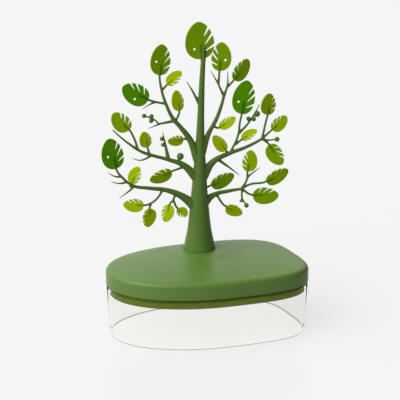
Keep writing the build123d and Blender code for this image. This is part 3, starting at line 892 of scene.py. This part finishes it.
for name, (foot, angle, length, width, side, turn, stud, _, green) in LEAVES.items():
    leaf = cut_leaf(name + "_blade", length, width, side, stud)
    shape = bmesh.new()
    shape.from_mesh(leaf.data)
    bmesh.ops.translate(shape, verts=shape.verts, vec=(0, 0, BLADE_BACK + BLADE / 2))
    sleeve_foot = Vector((0, FOOT_GAP, 0))
    sleeve_top = Vector((0, PIN_SHARE * length + SLEEVE_END, 0))
    add_sleeve(shape, sleeve_foot, sleeve_top, SLEEVE_RADIUS, SLEEVE_RADIUS * SLEEVE_TAPER)
    shape.to_mesh(leaf.data)
    shape.free()
    name_leaf_places(leaf, length, width)
    hang_leaf(leaf, name, stand_leaf(foot, angle, turn), green)


# Top leaf: the largest. Its blade lies behind the trunk's tip, which nests in a
# half-round cradle moulded on the blade's back.
TOP_FOOT, TOP_ANGLE, TOP_LENGTH, TOP_WIDTH = (4.2, 205.6), -8, 39, 31
TOP_STUD = 0.30
CRADLE_WALL = 0.4

top_place = stand_leaf(TOP_FOOT, TOP_ANGLE, 0)
leaf = cut_leaf("leaf_top_blade", TOP_LENGTH, TOP_WIDTH, 1, TOP_STUD)
shape = bmesh.new()
shape.from_mesh(leaf.data)
bmesh.ops.translate(shape, verts=shape.verts, vec=(0, 0, -BLADE / 2))
cradle = bmesh.new()
(low_z, low_x, low_radius), (high_z, high_x, high_radius) = TRUNK[-2:]
low = top_place.inverted() @ in_tree((low_x, low_z))
high = top_place.inverted() @ in_tree((high_x, high_z))
add_sleeve(cradle, low, high, low_radius + CRADLE_WALL, high_radius + CRADLE_WALL)
bmesh.ops.bisect_plane(
    cradle, geom=cradle.verts[:] + cradle.edges[:] + cradle.faces[:],
    plane_co=(0, 0, 0), plane_no=(0, 0, 1), clear_outer=True,
)
bmesh.ops.holes_fill(cradle, edges=cradle.edges)
half = bpy.data.meshes.new("cradle")
cradle.to_mesh(half)
cradle.free()
shape.from_mesh(half)
bpy.data.meshes.remove(half)
shape.to_mesh(leaf.data)
shape.free()
name_leaf_places(leaf, TOP_LENGTH, TOP_WIDTH)
hang_leaf(leaf, "leaf_top", top_place, "mid")


# Screw and washer: bright zinc-plated steel, inside the lid, where they pull the
# tree's foot down into its seat.
ZINC = (0.62, 0.62, 0.6, 1)
BRUSH_SCALE = 700
ZINC_ROUGHNESS = (0.25, 0.45)
zinc = bpy.data.materials.new("zinc_plate")
zinc.use_nodes = True
nodes, links = zinc.node_tree.nodes, zinc.node_tree.links
steel = nodes["Principled BSDF"]
steel.inputs["Base Color"].default_value = ZINC
steel.inputs["Metallic"].default_value = 1
brushed = nodes.new("ShaderNodeTexNoise")
brushed.inputs["Scale"].default_value = BRUSH_SCALE
brushed_place = nodes.new("ShaderNodeTexCoord")
links.new(brushed_place.outputs["Object"], brushed.inputs["Vector"])
dulled = range_node(nodes, (0, 1), ZINC_ROUGHNESS)
links.new(brushed.outputs["Fac"], dulled.inputs["Value"])
links.new(dulled.outputs["Result"], steel.inputs["Roughness"])
dress(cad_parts["screw"], zinc)
dress(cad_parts["washer"], zinc)


# Table: one wide pale disc under the part, satin enough to mirror its foot. Part
# of its white is its own glow, as on a lit table, so shadows on it stay soft.
TABLE_RADIUS = 9
TABLE_WHITE = (0.93, 0.935, 0.93, 1)
TABLE_ROUGHNESS = 0.25
TABLE_GLOW = 0.97

# Shares of the glow in what is seen straight and through the tray, and of the
# light thrown up at the part that is held back
GLOW_SEEN = 0.75
GLOW_THROUGH_TRAY = 0.80
BOUNCE_HELD_BACK = 0.88

shape = bmesh.new()
bmesh.ops.create_circle(shape, cap_ends=True, segments=96, radius=TABLE_RADIUS)
table = as_piece("table", shape)
table_top = bpy.data.materials.new("table_top")
table_top.use_nodes = True
nodes, links = table_top.node_tree.nodes, table_top.node_tree.links
table_shader = nodes["Principled BSDF"]
table_shader.inputs["Base Color"].default_value = TABLE_WHITE
table_shader.inputs["Roughness"].default_value = TABLE_ROUGHNESS
glow = nodes.new("ShaderNodeEmission")
glow.inputs["Color"].default_value = TABLE_WHITE
glow.inputs["Strength"].default_value = TABLE_GLOW
rays = nodes.new("ShaderNodeLightPath")
through = math_node(nodes, "MULTIPLY", GLOW_THROUGH_TRAY)
links.new(rays.outputs["Is Transmission Ray"], through.inputs[0])
seen = math_node(nodes, "MULTIPLY", GLOW_SEEN)
links.new(rays.outputs["Is Camera Ray"], seen.inputs[0])
share = math_node(nodes, "ADD")
share.use_clamp = True
links.new(through.outputs[0], share.inputs[0])
links.new(seen.outputs[0], share.inputs[1])
table_mix = nodes.new("ShaderNodeMixShader")
links.new(share.outputs[0], table_mix.inputs[0])
links.new(table_shader.outputs[0], table_mix.inputs[1])
links.new(glow.outputs[0], table_mix.inputs[2])
bounce = math_node(nodes, "MULTIPLY", BOUNCE_HELD_BACK)
links.new(rays.outputs["Is Diffuse Ray"], bounce.inputs[0])
unlit = nodes.new("ShaderNodeEmission")
unlit.inputs["Strength"].default_value = 0
bounce_mix = nodes.new("ShaderNodeMixShader")
links.new(bounce.outputs[0], bounce_mix.inputs[0])
links.new(table_mix.outputs[0], bounce_mix.inputs[1])
links.new(unlit.outputs[0], bounce_mix.inputs[2])
links.new(bounce_mix.outputs[0], nodes["Material Output"].inputs["Surface"])
dress(table, table_top)


# Studio light: white all round to the eye, but it lights the part mostly from
# above and from the left, which leaves the right of the trunk and lid dark. The
# satin plastic mirrors the bright wall behind the part, which pales the lid's top.
LIGHT_SIDE = (-0.70, -0.34, 0.62)
DIM_SIDE = 0.01
BRIGHT_SIDE = 1.2
MIRRORED_WALL = 1.15
MIRRORED_SIDE = (-0.20, 0.72, 0.66)
MIRRORED_SPREAD = (0.1, 0.95)
LAMP_ENERGY = 2.0
LAMP_SPREAD = 50
LAMP_DIRECTION = (0.74, 0.24, -0.64)

world = bpy.data.worlds.new("pale_studio")
bpy.context.scene.world = world
world.use_nodes = True
nodes, links = world.node_tree.nodes, world.node_tree.links
surround = nodes["Background"]
surround.inputs["Color"].default_value = (1, 1, 1, 1)
direction = nodes.new("ShaderNodeTexCoord")
facing = nodes.new("ShaderNodeVectorMath")
facing.operation = "DOT_PRODUCT"
facing.inputs[1].default_value = LIGHT_SIDE
links.new(direction.outputs["Generated"], facing.inputs[0])
falloff = range_node(nodes, (0, 1), (DIM_SIDE, BRIGHT_SIDE), smooth=True)
links.new(facing.outputs["Value"], falloff.inputs["Value"])
path = nodes.new("ShaderNodeLightPath")
seen = math_node(nodes, "ADD")
seen.use_clamp = True
links.new(path.outputs["Is Camera Ray"], seen.inputs[0])
links.new(path.outputs["Is Transmission Ray"], seen.inputs[1])
behind = nodes.new("ShaderNodeVectorMath")
behind.operation = "DOT_PRODUCT"
behind.inputs[1].default_value = MIRRORED_SIDE
links.new(direction.outputs["Generated"], behind.inputs[0])
mirrored = range_node(nodes, MIRRORED_SPREAD, (DIM_SIDE, MIRRORED_WALL), smooth=True)
links.new(behind.outputs["Value"], mirrored.inputs["Value"])
lighting = nodes.new("ShaderNodeMix")
links.new(path.outputs["Is Glossy Ray"], lighting.inputs["Factor"])
links.new(falloff.outputs["Result"], lighting.inputs["A"])
links.new(mirrored.outputs["Result"], lighting.inputs["B"])
level = nodes.new("ShaderNodeMix")
links.new(seen.outputs[0], level.inputs["Factor"])
links.new(lighting.outputs["Result"], level.inputs["A"])
level.inputs["B"].default_value = 1
links.new(level.outputs["Result"], surround.inputs["Strength"])

broad = bpy.data.lights.new("broad_lamp", "SUN")
broad.energy = LAMP_ENERGY
broad.angle = math.radians(LAMP_SPREAD)
lamp = bpy.data.objects.new("broad_lamp", broad)
bpy.context.collection.objects.link(lamp)
lamp.rotation_euler = Vector(LAMP_DIRECTION).to_track_quat("-Z", "Y").to_euler()


# Camera: a long lens from the front left and above, at the photograph's angle.
EYE = Vector((-0.5512, -1.6216, 0.6500))
AIM = Vector((-0.0343, -0.0767, 0.1655))
SENSOR_WIDTH = 36
LENS = 154.6

view = bpy.data.cameras.new("photo_view")
view.sensor_width = SENSOR_WIDTH
view.lens = LENS
camera = bpy.data.objects.new("photo_view", view)
bpy.context.collection.objects.link(camera)
camera.location = EYE
camera.rotation_euler = (AIM - EYE).to_track_quat("-Z", "Y").to_euler()
bpy.context.scene.camera = camera
bpy.context.scene.view_settings.view_transform = "Standard"
